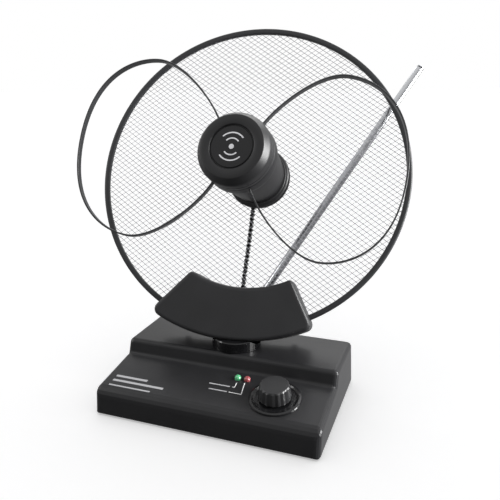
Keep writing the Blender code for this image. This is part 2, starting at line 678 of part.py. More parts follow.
def add_reflector():
    add_piece("reflector_rim", rim_ring("reflector_rim", 0.0), "dark_grey", dish_frame)
    screen = turned("reflector_screen", [
        (0, SCREEN_HALF), (RIM_INNER - GAP, SCREEN_HALF), (RIM_INNER - GAP, -SCREEN_HALF),
        (0, -SCREEN_HALF)], "mesh_wire", dish_frame, 72)
    cut(screen, rod_mesh("screen_hole", 0.0066, -0.01, 0.01, HUB_FOOT, 32), dish_frame)
    flange = turned("hub_flange", [
        (0, 0.0150), (0.0058, 0.0150), (0.0058, 0.0062), (0.0232, 0.0062), (0.0240, 0.0052),
        (0.0252, 0.0048), (0.0260, 0.0040), (0.0260, -0.0030), (0, -0.0030)], "dark_grey", hub_frame, 40)
    cut(flange, box_mesh("behind_screen", (-0.04, -0.04, -0.02), (0.04, 0.04, SCREEN_HALF + GAP)), hub_foot)
    join(flange, rod_mesh("flange_boss", 0.0060, -0.0050, 0.0030, (0, 0), 32), hub_foot)
    cut(flange, rod_mesh("flange_bore", 0.0024, -0.03, 0.03, (0, 0), 24), hub_frame)
    cap = turned("hub_rear_cap", [
        (0, -0.0056), (0.0063, -0.0056), (0.0063, -0.0006), (0.0185, -0.0006), (0.0185, -0.0074),
        (0.0165, -0.0092), (0, -0.0092)], "case_black", hub_foot, 32)
    entry = rod_mesh("cable_entry", CABLE_RADIUS + 0.0004, -0.030, -0.0142,
                     (CABLE_TOP[0], -CABLE_TOP[2]), 16, ALONG_Y)
    cut(cap, entry, dish_frame)


def add_cable():
    """The feed cable behind the screen, from the rear cap down into the cradle."""
    curve = bpy.data.curves.new("feed_cable", "CURVE")
    curve.dimensions = "3D"
    curve.bevel_depth = CABLE_RADIUS
    curve.bevel_resolution = 2
    curve.use_fill_caps = True
    line = curve.splines.new("POLY")
    count = 16
    line.points.add(count)
    for index, point in enumerate(line.points):
        t = index / count
        ease = t * t * (3 - 2 * t)
        x = CABLE_TOP[0] + (CABLE_FOOT[0] - CABLE_TOP[0]) * ease
        y = CABLE_TOP[1] + (CABLE_FOOT[1] - CABLE_TOP[1]) * t
        z = CABLE_TOP[2] + (CABLE_FOOT[2] - CABLE_TOP[2]) * ease - 0.0016 * math.sin(math.pi * t) ** 2
        point.co = (x, y, z, 1)
    holder = bpy.data.objects.new("feed_cable_curve", curve)
    guides.objects.link(holder)
    bpy.context.view_layer.update()
    mesh = bpy.data.meshes.new_from_object(holder.evaluated_get(bpy.context.evaluated_depsgraph_get()))
    bm = bmesh.new()
    bm.from_mesh(mesh)
    bpy.data.meshes.remove(mesh)
    bpy.data.objects.remove(holder)
    bmesh.ops.remove_doubles(bm, verts=bm.verts, dist=0.00001)
    bmesh.ops.recalc_face_normals(bm, faces=bm.faces)
    add_piece("feed_cable", mesh_from(bm, "feed_cable"), "rubber", dish_frame)


# ---------------------------------------------------------------- loop head

def loop_path(side, count=12):
    """One ear's centre line in the head's axes: out of the hub, round and back."""
    start, leave = Vector(LOOP_START), Vector(LOOP_LEAVE)
    top, far = Vector(LOOP_TOP), Vector((LOOP_FAR, 0))
    half = bezier(start, leave, top - Vector((0.0232, 0)), top, count)
    half += bezier(top, top + Vector((0.0189, 0)), far + Vector((0, 0.0555)), far, count)[1:]
    half += [(x, -y) for x, y in half[::-1]][1:]
    tangent = (leave - start).normalized()
    tail = Vector((half[-1][0], half[-1][1])) + Vector((-tangent.x, tangent.y)) * LOOP_TAIL
    half.append(tuple(tail))
    return [(side * x, y + LOOP_DROOP) for x, y in half]


def ribbon_mesh(name, path, width, thickness):
    """A strip that stands on its edge along the path."""
    bm = bmesh.new()
    rows = []
    for index, (x, y) in enumerate(path):
        x0, y0 = path[max(index - 1, 0)]
        x1, y1 = path[min(index + 1, len(path) - 1)]
        across = Vector((y0 - y1, x1 - x0, 0)).normalized() * thickness / 2
        centre = Vector((x, y, 0))
        row = []
        for side, level in ((1, 0.5), (1, -0.5), (-1, -0.5), (-1, 0.5)):
            row.append(bm.verts.new(centre + side * across + Vector((0, 0, LOOP_PLANE + level * width))))
        rows.append(row)
    for first, second in zip(rows, rows[1:]):
        for k in range(4):
            n = (k + 1) % 4
            bm.faces.new((first[k], first[n], second[n], second[k]))
    bm.faces.new(rows[0])
    bm.faces.new(rows[-1][::-1])
    bmesh.ops.recalc_face_normals(bm, faces=bm.faces)
    return mesh_from(bm, name)


def add_head():
    body = turned("hub_body", [
        (HUB_RADIUS - 0.0024, SEAM), (HUB_RADIUS, SEAM), (HUB_RADIUS + 0.0002, 0.0545),
        (HUB_RADIUS - 0.0004, 0.0522), (0.0263, 0.0500), (0.0260, 0.0460), (0.0246, 0.0280),
        (0.0234, 0.0140), (0.0228, 0.0066), (0.0062, 0.0066), (0.0062, 0.0092), (0.0204, 0.0092),
        (0.0222, 0.0280), (0.0238, 0.0500)], "dark_grey", head_pivot, 40)
    cap = turned("hub_cap", [
        (0, HUB_FRONT - 0.0014), (0.0164, HUB_FRONT - 0.0014), (0.0172, HUB_FRONT), (0.0242, HUB_FRONT),
        (0.0274, HUB_FRONT - 0.0048), (0.0280, HUB_FRONT - 0.0062), (HUB_RADIUS, SEAM + GAP),
        (HUB_RADIUS - 0.0026, SEAM + GAP), (0.0246, HUB_FRONT - 0.0064), (0, HUB_FRONT - 0.0064)],
        "dark_grey", head_pivot, 40)
    turned("hub_retainer", [(0.0061, 0.0126), (0.0105, 0.0126), (0.0105, 0.0095), (0.0061, 0.0095)],
           "steel", hub_frame, 32)
    turned("hub_emblem", [
        (0, HUB_FRONT - 0.0006), (EMBLEM_RADIUS, HUB_FRONT - 0.0006), (EMBLEM_RADIUS, HUB_FRONT - 0.0011),
        (0, HUB_FRONT - 0.0011)], "emblem", head_pivot, 32)
    turned("loop_terminal_board", [
        (0, 0.0506), (0.0234, 0.0506), (0.0234, 0.0490), (0, 0.0490)], "board", head_pivot, 28)
    for side, name in ((-1, "loop_left"), (1, "loop_right")):
        path = loop_path(side)
        add_piece(name, ribbon_mesh(name, path, RIBBON_WIDTH, RIBBON_THICKNESS), "dark_grey", loop_frame)
        wide = RIBBON_THICKNESS + 2 * GAP
        slot = ribbon_mesh(f"{name}_slot", path, RIBBON_WIDTH + 3 * GAP, wide)
        cutter = add_cutter(f"{name}_slot", slot, loop_frame)
        boolean(body, cutter)
        boolean(cap, cutter)


# ---------------------------------------------------------------- telescopic rod

def add_rod():
    """A knuckle behind the cradle, a hinged rod foot and five nested tubes."""
    bracket = turned("rod_bracket", [
        (0.0034, CRADLE_REAR - GAP), (0.0090, CRADLE_REAR - GAP), (0.0090, -0.0095), (0.0084, -0.0102),
        (0.0034, -0.0102)], "case_black", dish_frame, 32)
    bracket.location = (*ROD_FOOT, 0)
    retainer = turned("rod_retainer", [
        (0.0033, -0.0013), (0.0052, -0.0013), (0.0052, -0.0026), (0.0033, -0.0026)], "steel", dish_frame, 24)
    retainer.location = (*ROD_FOOT, 0)
    top, base, under = (off - ROD_PLANE for off in (-0.0012, -0.0105, -0.0127))
    knuckle = turned("rod_knuckle", [
        (0, top), (0.0030, top), (0.0030, base), (0.0080, base), (0.0080, under), (0, under)],
        "case_black", rod_pivot, 32)
    for side, label in ((-1, "left"), (1, "right")):
        near, far = sorted((side * 0.0019, side * 0.0042))
        join(knuckle, box_mesh(f"knuckle_ear_{label}", (near, -0.0039, 0), (far, 0.0039, under + 0.001)), rod_pivot)
        join(knuckle, rod_mesh(f"knuckle_tip_{label}", 0.0040, near, far, (0, 0), 24, ALONG_X), rod_pivot)
    cut(knuckle, rod_mesh("knuckle_bore", 0.0012 + GAP, -0.01, 0.01, (0, 0), 16, ALONG_X), rod_pivot)
    add_piece("rod_pin", rod_mesh("rod_pin", 0.0012, -0.0045, 0.0045, (0, 0), 16, ALONG_X), "steel", rod_pivot)
    radius = ROD_RADII[0]
    foot_low, floor, mouth = 0.0066, 0.0140, ROD_ENDS[0]
    foot = turned("rod_section_1", [
        (0, floor), (radius - ROD_WALL, floor), (radius - ROD_WALL, mouth), (radius, mouth),
        (radius, foot_low), (0.0026, foot_low - 0.0008), (0, foot_low - 0.0008)], "chrome", rod_frame, 24)
    join(foot, box_mesh("rod_tongue", (-0.0016, -0.0022, 0), (0.0016, 0.0022, foot_low + 0.001)), rod_frame)
    join(foot, rod_mesh("rod_eye", 0.0030, -0.0016, 0.0016, (0, 0), 20, ALONG_X), rod_frame)
    cut(foot, rod_mesh("rod_eye_bore", 0.0012 + GAP, -0.01, 0.01, (0, 0), 16, ALONG_X), rod_frame)
    for index in (1, 2, 3):
        radius, mouth = ROD_RADII[index], ROD_ENDS[index]
        floor += 0.0015
        bore = radius - ROD_WALL
        turned(f"rod_section_{index + 1}", [
            (0, floor + 0.0012), (bore, floor + 0.0012), (bore, mouth), (radius, mouth),
            (radius, floor), (0, floor)], "chrome", rod_frame, 20)
    floor += 0.0020
    radius, mouth = ROD_RADII[4], ROD_ENDS[4]
    turned("rod_section_5", [
        (0, mouth), (0.0026, mouth), (0.0031, mouth - 0.0005), (0.0031, mouth - 0.0014),
        (radius, mouth - 0.0014), (radius, floor), (0, floor)],
        "chrome", rod_frame, 24)


# ---------------------------------------------------------------- build

add_case()
add_bottom()
add_sockets()
add_panel_controls()
add_neck()
add_cradle()
add_reflector()
add_cable()
add_head()
add_rod()
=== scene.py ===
"""Looks for the tabletop television aerial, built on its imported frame.

The reflector's pieces are drawn in the reflector's own axes, from the centre of the rim: X to the right
as seen from the front, Y up the reflector and Z out of its front. The hub and the loops have axes of
their own and lean a little against it. Sizes are in millimetres and angles in degrees, unless a comment
says otherwise.
"""

import json
import math

import bmesh
import bpy
from mathutils import Matrix, Vector


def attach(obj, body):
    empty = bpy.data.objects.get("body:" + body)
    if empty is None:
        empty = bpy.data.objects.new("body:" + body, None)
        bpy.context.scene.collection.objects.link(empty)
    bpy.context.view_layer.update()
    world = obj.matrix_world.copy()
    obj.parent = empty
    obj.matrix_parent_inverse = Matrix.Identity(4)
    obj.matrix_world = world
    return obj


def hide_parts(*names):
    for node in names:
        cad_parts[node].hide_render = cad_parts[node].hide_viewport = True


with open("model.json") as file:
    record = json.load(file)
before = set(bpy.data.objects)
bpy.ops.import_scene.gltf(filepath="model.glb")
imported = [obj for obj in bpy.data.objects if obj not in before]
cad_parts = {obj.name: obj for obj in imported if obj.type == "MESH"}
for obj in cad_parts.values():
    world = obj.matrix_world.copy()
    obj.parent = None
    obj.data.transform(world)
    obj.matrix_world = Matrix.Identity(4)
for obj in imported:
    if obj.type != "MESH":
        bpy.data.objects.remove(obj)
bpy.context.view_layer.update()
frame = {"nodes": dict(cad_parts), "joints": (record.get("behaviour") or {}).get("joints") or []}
nodes = frame["nodes"]
joints = {joint["name"]: joint for joint in frame["joints"]}
MM = 0.001


# ---------------------------------------------------------------- frames of the moving bodies

# Where the rod's joint, the hub and the loops stand in the reflector's axes, and how they lean
ROD_FOOT = (9.3, -108.0, -16.5)
HUB_FOOT = (7.7, -3.2, 0)
HUB_LEAN_X, HUB_LEAN_Y = -0.8, -4.8
HEAD_TURN = -5.8
LOOPS_CENTRE = (-0.85, 2.19, 0)
LOOPS_LEAN_X, LOOPS_LEAN_Y = 2.36, 1.66
LOOPS_TURN = -4.95
# The knob's centre on the control panel, from the middle of the panel's lower edge
KNOB_ON_PANEL = (47.7, 25.3, 0)


def axes(origin, x_axis, z_axis):
    """A matrix from an origin in metres, an X direction and a Z direction."""
    z_axis = Vector(z_axis).normalized()
    x_axis = Vector(x_axis)
    x_axis = (x_axis - z_axis * x_axis.dot(z_axis)).normalized()
    y_axis = z_axis.cross(x_axis)
    made = Matrix((x_axis, y_axis, z_axis)).transposed().to_4x4()
    made.translation = origin
    return made


def turn(degrees, axis):
    return Matrix.Rotation(math.radians(degrees), 4, axis)


def shift(x, y, z):
    return Matrix.Translation((x * MM, y * MM, z * MM))


# The rod's swing joint stands square to the reflector, so it gives the reflector's axes
DISH = axes(joints["rod_swing"]["pos_m"], joints["dish_tilt"]["axis"], joints["rod_swing"]["axis"])
DISH = DISH @ shift(*ROD_FOOT).inverted()
HUB_BASE = DISH @ shift(*HUB_FOOT)
HUB = HUB_BASE @ turn(HUB_LEAN_Y, "Y") @ turn(HUB_LEAN_X, "X")
HEAD = HUB @ turn(HEAD_TURN, "Z")
LOOPS = DISH @ shift(*LOOPS_CENTRE) @ turn(LOOPS_LEAN_Y, "Y") @ turn(LOOPS_LEAN_X, "X")
LOOPS = LOOPS @ turn(LOOPS_TURN, "Z")
# The control panel's axes: X along the case, Y up the slope, Z out of the panel
PANEL = axes(joints["gain_turn"]["pos_m"], (1, 0, 0), joints["gain_turn"]["axis"])
PANEL = PANEL @ shift(*KNOB_ON_PANEL).inverted()


# ---------------------------------------------------------------- camera, light and floor

CAMERA_PLACE = (0.1575, -0.3730, 0.2413)    # in metres
CAMERA_HEADING, CAMERA_DIP, CAMERA_ROLL = -20.43, 16.507, -0.66
CAMERA_LENS, CAMERA_SENSOR = 41.06, 36.0

# Name, place, aim and size in metres, and power in watts
LIGHTS = [
    ("key", (0.98, 0.14, 0.42), (0, 0, 0.14), (0.34, 0.80), 34.0),
    ("left", (-0.95, -0.35, 0.60), (0, 0, 0.10), (0.35, 0.60), 4.0),
    ("back", (0.0, 0.9, 0.9), (0, 0, 0.12), (1.2, 0.5), 5.0),
]

# How brightly the sky lights the object: everywhere, and more from each of these sides
SKY = {"floor": 0.10, "above": 0.80, "behind": 0.45, "right": 0.12, "left": 0.20}
SIDE_SHARPNESS = 3.0

FLOOR_REACH, FLOOR_DROP = 14.0, 0.0002      # in metres
FLOOR_COLOUR = (0.90, 0.90, 0.905, 1)
FLOOR_GLOW = 0.35


def add_camera():
    """The photograph's view: right of the front and above, nearly level with the reflector's hub."""
    data = bpy.data.cameras.new("camera")
    data.sensor_width = CAMERA_SENSOR
    data.lens = CAMERA_LENS
    data.clip_start = 0.01
    data.clip_end = 30.0
    camera = bpy.data.objects.new("camera", data)
    bpy.context.scene.collection.objects.link(camera)
    heading, dip, roll = (math.radians(angle) for angle in (CAMERA_HEADING, CAMERA_DIP, CAMERA_ROLL))
    look = Vector((math.sin(heading) * math.cos(dip), math.cos(heading) * math.cos(dip), -math.sin(dip)))
    right = Vector((math.cos(heading), -math.sin(heading), 0))
    up = right.cross(look)
    right_rolled = math.cos(roll) * right + math.sin(roll) * up
    up_rolled = math.cos(roll) * up - math.sin(roll) * right
    place = Matrix((right_rolled, up_rolled, -look)).transposed().to_4x4()
    place.translation = CAMERA_PLACE
    camera.matrix_world = place
    bpy.context.scene.camera = camera


def add_light(name, location, target, size, energy):
    data = bpy.data.lights.new(name, "AREA")
    data.shape = "RECTANGLE"
    data.size, data.size_y = size
    data.energy = energy
    light = bpy.data.objects.new(name, data)
    bpy.context.scene.collection.objects.link(light)
    light.location = location
    light.rotation_euler = (Vector(target) - Vector(location)).to_track_quat("-Z", "Y").to_euler()
    return light


def add_sky():
    """White behind the object for the camera. It lights the object softly: dim from the front, bright
    from above and behind, and a little from each side."""
    world = bpy.data.worlds.new("studio")
    bpy.context.scene.world = world
    world.use_nodes = True
    tree = world.node_tree
    tree.nodes.clear()

    def maths(kind, first, second):
        node = tree.nodes.new("ShaderNodeMath")
        node.operation = kind
        for socket, value in zip(node.inputs, (first, second)):
            if isinstance(value, float):
                socket.default_value = value
            else:
                tree.links.new(value, socket)
        return node.outputs[0]

    def background(strength):
        node = tree.nodes.new("ShaderNodeBackground")
        node.inputs["Color"].default_value = (1.0, 1.0, 1.0, 1.0)
        if isinstance(strength, float):
            node.inputs["Strength"].default_value = strength
        else:
            tree.links.new(strength, node.inputs["Strength"])
        return node.outputs[0]

    place = tree.nodes.new("ShaderNodeTexCoord")
    split = tree.nodes.new("ShaderNodeSeparateXYZ")
    tree.links.new(place.outputs["Generated"], split.inputs[0])
    leftward = maths("MULTIPLY", split.outputs["X"], -1.0)
    sides = {
        "above": maths("MAXIMUM", split.outputs["Z"], 0.0),
        "behind": maths("MAXIMUM", split.outputs["Y"], 0.0),
        "right": maths("POWER", maths("MAXIMUM", split.outputs["X"], 0.0), SIDE_SHARPNESS),
        "left": maths("POWER", maths("MAXIMUM", leftward, 0.0), SIDE_SHARPNESS)}
    level = SKY["floor"]
    for side, share in sides.items():
        level = maths("ADD", maths("MULTIPLY", share, SKY[side]), level)
    seen = tree.nodes.new("ShaderNodeLightPath")
    mixed = tree.nodes.new("ShaderNodeMixShader")
    out = tree.nodes.new("ShaderNodeOutputWorld")
    tree.links.new(seen.outputs["Is Camera Ray"], mixed.inputs[0])
    tree.links.new(background(level), mixed.inputs[1])
    tree.links.new(background(1.0), mixed.inputs[2])
    tree.links.new(mixed.outputs[0], out.inputs["Surface"])


def add_floor():
    """A pale floor that glows a little. It stays out of reflections."""
    bm = bmesh.new()
    bmesh.ops.create_grid(bm, x_segments=8, y_segments=8, size=FLOOR_REACH)
    floor = bpy.data.objects.new("floor", mesh_of(bm, "floor"))
    bpy.context.scene.collection.objects.link(floor)
    floor.location.z = -FLOOR_DROP
    look = bpy.data.materials.new("floor")
    look.use_nodes = True
    shader = look.node_tree.nodes["Principled BSDF"]
    shader.inputs["Base Color"].default_value = FLOOR_COLOUR
    shader.inputs["Roughness"].default_value = 0.6
    shader.inputs["Specular IOR Level"].default_value = 0.15
    shader.inputs["Emission Color"].default_value = (1, 1, 1, 1)
    shader.inputs["Emission Strength"].default_value = FLOOR_GLOW
    floor.data.materials.append(look)
    floor.visible_glossy = False
    return floor


def add_studio():
    """The sky, the lights and the floor. The lights leave the floor to the sky."""
    add_sky()
    lights = [add_light(*row) for row in LIGHTS]
    floor = add_floor()
    unlit = bpy.data.collections.new("lit_by_sky_only")
    unlit.objects.link(floor)
    for light in lights:
        light.light_linking.receiver_collection = unlit
    for member in unlit.collection_objects:
        member.light_linking.link_state = "EXCLUDE"
    view = bpy.context.scene.view_settings
    view.view_transform = "Standard"
    view.look = "None"


# ---------------------------------------------------------------- materials

CLOUD_SCALE, CLOUD_DETAIL = 38.0, 4.0
CLOUD_DARK, CLOUD_LIGHT = 0.30, 0.70
GRAIN_DETAIL, GRAIN_DEPTH = 2.0, 0.0004     # depth in metres
COAT_ROUGHNESS = 0.08


def surface(name, colour, roughness, metallic=0.0, spread=0.06, grain=0.0, grain_scale=1500.0,
            tone=0.10, coat=0.0, stretch=(1, 1, 1), specular=0.5):
    """A material whose colour, roughness and relief all vary a little over the surface."""
    made = bpy.data.materials.new(name)
    made.use_nodes = True
    tree = made.node_tree
    shader = tree.nodes["Principled BSDF"]
    shader.inputs["Metallic"].default_value = metallic
    shader.inputs["Coat Weight"].default_value = coat
    shader.inputs["Coat Roughness"].default_value = COAT_ROUGHNESS
    shader.inputs["Specular IOR Level"].default_value = specular
    place = tree.nodes.new("ShaderNodeTexCoord")
    mapping = tree.nodes.new("ShaderNodeMapping")
    mapping.inputs["Scale"].default_value = stretch
    tree.links.new(place.outputs["Object"], mapping.inputs["Vector"])
    cloud = tree.nodes.new("ShaderNodeTexNoise")
    cloud.inputs["Scale"].default_value = CLOUD_SCALE
    cloud.inputs["Detail"].default_value = CLOUD_DETAIL
    tree.links.new(mapping.outputs["Vector"], cloud.inputs["Vector"])
    ramp = tree.nodes.new("ShaderNodeValToRGB")
    dark, light = ramp.color_ramp.elements
    dark.position, light.position = CLOUD_DARK, CLOUD_LIGHT
    dark.color = (*(c * (1 - tone) for c in colour), 1)
    light.color = (*(min(1, c * (1 + tone)) for c in colour), 1)
    tree.links.new(cloud.outputs["Fac"], ramp.inputs["Fac"])
    tree.links.new(ramp.outputs["Color"], shader.inputs["Base Color"])
    gloss = tree.nodes.new("ShaderNodeMapRange")
    gloss.inputs["To Min"].default_value = max(0.02, roughness - spread)
    gloss.inputs["To Max"].default_value = min(1.0, roughness + spread)
    tree.links.new(cloud.outputs["Fac"], gloss.inputs["Value"])
    tree.links.new(gloss.outputs["Result"], shader.inputs["Roughness"])
    if grain > 0:
        fine = tree.nodes.new("ShaderNodeTexNoise")
        fine.inputs["Scale"].default_value = grain_scale
        fine.inputs["Detail"].default_value = GRAIN_DETAIL
        tree.links.new(mapping.outputs["Vector"], fine.inputs["Vector"])
        bump = tree.nodes.new("ShaderNodeBump")
        bump.inputs["Strength"].default_value = grain
        bump.inputs["Distance"].default_value = GRAIN_DEPTH
        tree.links.new(fine.outputs["Fac"], bump.inputs["Height"])
        tree.links.new(bump.outputs["Normal"], shader.inputs["Normal"])
    return made


def lens(name, colour, glow):
    """A tinted translucent lamp lens."""
    made = surface(name, colour, 0.14, spread=0.03, tone=0.12, coat=0.5)
    shader = made.node_tree.nodes["Principled BSDF"]
    shader.inputs["Subsurface Weight"].default_value = 0.25
    shader.inputs["Subsurface Radius"].default_value = (0.002, 0.002, 0.002)
    shader.inputs["Emission Color"].default_value = (*colour, 1)
    shader.inputs["Emission Strength"].default_value = glow
    return made


# Each look's colour, roughness and whatever else sets it apart
LOOKS = {
    "case": surface("case", (0.0125, 0.0125, 0.0135), 0.34, grain=0.08, spread=0.03, specular=0.30),
    "cover": surface("cover", (0.010, 0.010, 0.011), 0.55, grain=0.25, specular=0.35),
    "cradle": surface("cradle", (0.0160, 0.0160, 0.0170), 0.36, grain=0.08, spread=0.03, specular=0.36),
    "hub": surface("hub", (0.0110, 0.0110, 0.0118), 0.40, grain=0.05, spread=0.03, specular=0.40),
    # Painted shade: the hub's plastic again, a little darker and far less shiny, so the barrel stays dark
    "hub_side_painted_shade": surface("hub_side_painted_shade", (0.0100, 0.0100, 0.0108), 0.38, grain=0.05, spread=0.03, specular=0.20),
    "rim": surface("rim", (0.016, 0.0165, 0.018), 0.40, grain=0.06, specular=0.40),
    "neck": surface("neck", (0.004, 0.004, 0.0045), 0.12, spread=0.03, specular=0.45),
    "knob": surface("knob", (0.014, 0.014, 0.0148), 0.34, spread=0.05, specular=0.50),
    "bezel": surface("bezel", (0.006, 0.006, 0.0066), 0.20, spread=0.04, specular=0.45),
    "green": lens("green_lens", (0.08, 0.34, 0.16), 0.12),
    "red": lens("red_lens", (0.26, 0.06, 0.065), 0.06),
    "print": surface("print_white", (0.75, 0.75, 0.75), 0.45, spread=0.05, tone=0.04),
    "print_grey": surface("print_grey", (0.30, 0.30, 0.31), 0.45, spread=0.05, tone=0.04),
    "emblem": surface("emblem", (0.008, 0.008, 0.0088), 0.26, spread=0.03, specular=0.40),
    "emblem_mark": surface("emblem_mark", (0.60, 0.60, 0.62), 0.35, metallic=0.2, spread=0.05),
    "board": surface("board", (0.03, 0.16, 0.08), 0.42, grain=0.15, tone=0.2),
    "rubber": surface("rubber", (0.022, 0.022, 0.022), 0.82, grain=0.5, grain_scale=900),
    "cable": surface("cable", (0.008, 0.008, 0.008), 0.26, grain=0.05),
    "ear": surface("ear", (0.018, 0.0185, 0.020), 0.32, grain=0.05, specular=0.45),
    "wire": surface("wire", (0.22, 0.22, 0.24), 0.42, metallic=0.3, tone=0.15),
    "steel": surface("steel", (0.52, 0.52, 0.53), 0.34, metallic=1.0, grain=0.12, stretch=(1, 1, 6)),
    "nickel": surface("nickel", (0.62, 0.61, 0.58), 0.20, metallic=1.0, spread=0.05),
    "brass": surface("brass", (0.62, 0.45, 0.20), 0.30, metallic=1.0, grain=0.10),
    "chrome": surface("chrome", (0.62, 0.63, 0.65), 0.14, metallic=1.0, spread=0.04, tone=0.05),
}


# ---------------------------------------------------------------- building pieces

CORNER_SHARE = 0.45     # the most of a side that one rounded corner takes


def mesh_of(bm, name):
    mesh = bpy.data.meshes.new(name)
    bm.to_mesh(mesh)
    bm.free()
    return mesh


def placed(bm, matrix, name):
    """Closes up a drawing: outward normals, its place in the object, a mesh."""
    bmesh.ops.recalc_face_normals(bm, faces=bm.faces)
    bm.transform(matrix)
    return mesh_of(bm, name)


def piece(name, mesh, look, body, replaced=(), smooth_angle=32):
    """A visible piece that rides on a body and stands in for the nodes that it replaces."""
    made = bpy.data.objects.new(name, mesh)
    bpy.context.scene.collection.objects.link(made)
    mesh.materials.append(LOOKS[look])
    if smooth_angle:
        mesh.shade_smooth()
        mesh.set_sharp_from_angle(angle=math.radians(smooth_angle))
    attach(made, body)
    if replaced:
        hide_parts(*replaced)
    return made


def skin(bm, rows):
    """Joins rows of corners into a closed tube with flat ends."""
    for first, second in zip(rows, rows[1:]):
        for k in range(len(first)):
            n = (k + 1) % len(first)
            bm.faces.new((first[k], first[n], second[n], second[k]))
    bm.faces.new(rows[0])
    bm.faces.new(rows[-1][::-1])


def lathe(profile, matrix, steps, name):
    """A turned solid from (radius, height) points round its outline. An outline that starts on the axis
    ends on it, and any other leaves a bore."""
    bm = bmesh.new()
    rings = []
    for radius, height in profile:
        if radius == 0:
            rings.append([bm.verts.new((0, 0, height * MM))])
            continue
        angles = [index * math.tau / steps for index in range(steps)]
        rings.append([bm.verts.new((radius * MM * math.cos(a), radius * MM * math.sin(a), height * MM))
                      for a in angles])
    has_bore = profile[0][0] > 0
    pairs = list(zip(rings, rings[1:])) + ([(rings[-1], rings[0])] if has_bore else [])
    for upper, lower in pairs:
        for index in range(steps):
            after = (index + 1) % steps
            corners = [upper[index % len(upper)], lower[index % len(lower)],
                       lower[after % len(lower)], upper[after % len(upper)]]
            bm.faces.new(list(dict.fromkeys(corners)))
    return placed(bm, matrix, name)


def soften(profile, radius, count):
    """Rounds every corner of a closed profile by a small radius."""
    out = []
    for index, corner in enumerate(profile):
        here = Vector(corner)
        before = Vector(profile[index - 1]) - here
        after = Vector(profile[(index + 1) % len(profile)]) - here
        reach = min(radius, before.length * CORNER_SHARE, after.length * CORNER_SHARE)
        start, end = here + before.normalized() * reach, here + after.normalized() * reach
        for step in range(count + 1):
            t = step / count
            spot = start * (1 - t) ** 2 + here * 2 * t * (1 - t) + end * t ** 2
            out.append((spot.x, spot.y))
    return out


def arc(radius, first, last, count):
    """Points on a circle about the origin, between two angles in degrees."""
    first, last = math.radians(first), math.radians(last)
    steps = [first + (last - first) * i / count for i in range(count + 1)]
    return [(radius * math.cos(a), radius * math.sin(a)) for a in steps]


def bezier(first, leave, arrive, last, count):
    """Points on a cubic curve between two ends, with a handle at each."""
    points = []
    for i in range(count + 1):
        t = i / count
        weights = ((1 - t) ** 3, 3 * t * (1 - t) ** 2, 3 * t * t * (1 - t), t ** 3)
        knots = (first, leave, arrive, last)
        points.append(tuple(sum(w * p[axis] for w, p in zip(weights, knots)) for axis in (0, 1)))
    return points


def sweep(path, section, matrix, name):
    """Carries a closed section of (side, level) points along a flat path in the XY plane."""
    bm = bmesh.new()
    rows = []
    for index, (x, y) in enumerate(path):
        x0, y0 = path[max(index - 1, 0)]
        x1, y1 = path[min(index + 1, len(path) - 1)]
        across = Vector((y0 - y1, x1 - x0, 0)).normalized()
        rows.append([bm.verts.new((Vector((x, y, 0)) + across * side + Vector((0, 0, level))) * MM)
                     for side, level in section])
    skin(bm, rows)
    return placed(bm, matrix, name)


# ---------------------------------------------------------------- reflector

WIRE_SPACING, WIRE_REACH, WIRE_HOLE = 3.65, 127.6, 15.0
WIRE_SIDES = 6
WIRE_START = 0.35       # how far the middle wire stands from the centre, in spacings
# How each family of wires leans, its level on the screen and its wires' radius
WIRE_FAMILIES = ((-35.2, 0.22, 0.24), (35.2, -0.18, 0.17))
RIM_INNER, RIM_OUTER, RIM_HALF, RIM_EDGE = 127.3, 131.8, 2.0, 0.8
RIM_STEPS = 192


def wire_spans(offset):
    """The stretches of the wire at this distance from the middle, from the rim to the hub's hole."""
    half = math.sqrt(WIRE_REACH ** 2 - offset ** 2)
    if abs(offset) >= WIRE_HOLE:
        return [(-half, half)]
    gap = math.sqrt(WIRE_HOLE ** 2 - offset ** 2)
    return [(-half, -gap), (gap, half)]


def draw_wire(bm, family, offset, span):
    """One straight wire of a family, at this distance from the middle."""
    lean, level, thick = family
    along = Vector((math.cos(math.radians(lean)), math.sin(math.radians(lean)), 0))
    across = Vector((-along.y, along.x, 0))
    outline = [across * (offset + x) + Vector((0, 0, level + z))
               for x, z in arc(thick, 0, 360, WIRE_SIDES)[:-1]]
    skin(bm, [[bm.verts.new((along * place + corner) * MM) for corner in outline] for place in span])


def add_wires():
    """Two families of fine wires that cross as diamonds, from the rim to the hub."""
    bm = bmesh.new()
    count = int(WIRE_REACH / WIRE_SPACING)
    for family in WIRE_FAMILIES:
        for index in range(-count, count + 1):
            offset = (index + WIRE_START) * WIRE_SPACING
            if abs(offset) < WIRE_REACH:
                for span in wire_spans(offset):
                    draw_wire(bm, family, offset, span)
    piece("reflector_wires", placed(bm, DISH, "reflector_wires"), "wire", "dish",
          ("reflector_screen",), smooth_angle=40)


def add_rim():
    """A flat ring with bevelled outer corners."""
    front = [(RIM_INNER, RIM_HALF), (RIM_OUTER - RIM_EDGE, RIM_HALF), (RIM_OUTER, RIM_HALF - RIM_EDGE)]
    profile = soften(front + [(radius, -level) for radius, level in front[::-1]], RIM_EDGE, 2)
    piece("rim", lathe(profile, DISH, RIM_STEPS, "rim"), "rim", "dish", ("reflector_rim",))


# ---------------------------------------------------------------- loop head

# A loop leaves the hub at START towards LEAVE, passes over TOP and turns back at FAR
LOOP_START, LOOP_LEAVE = Vector((12.3, 16.3)), Vector((15.9, 32.9))
LOOP_TOP, LOOP_FAR = Vector((72.1, 69.1)), Vector((124.4, 0))
LOOP_BEFORE_TOP, LOOP_AFTER_TOP, LOOP_BEFORE_FAR = Vector((-23.2, 0)), Vector((18.9, 0)), Vector((0, 55.5))
LOOP_TAIL = 5.0
LOOP_PLANE, LOOP_DROOP = 59.5, -4.0
LOOP_STEPS = 40
STRIP_HALF, STRIP_DEEP, STRIP_EDGE = 0.62, 2.5, 0.18

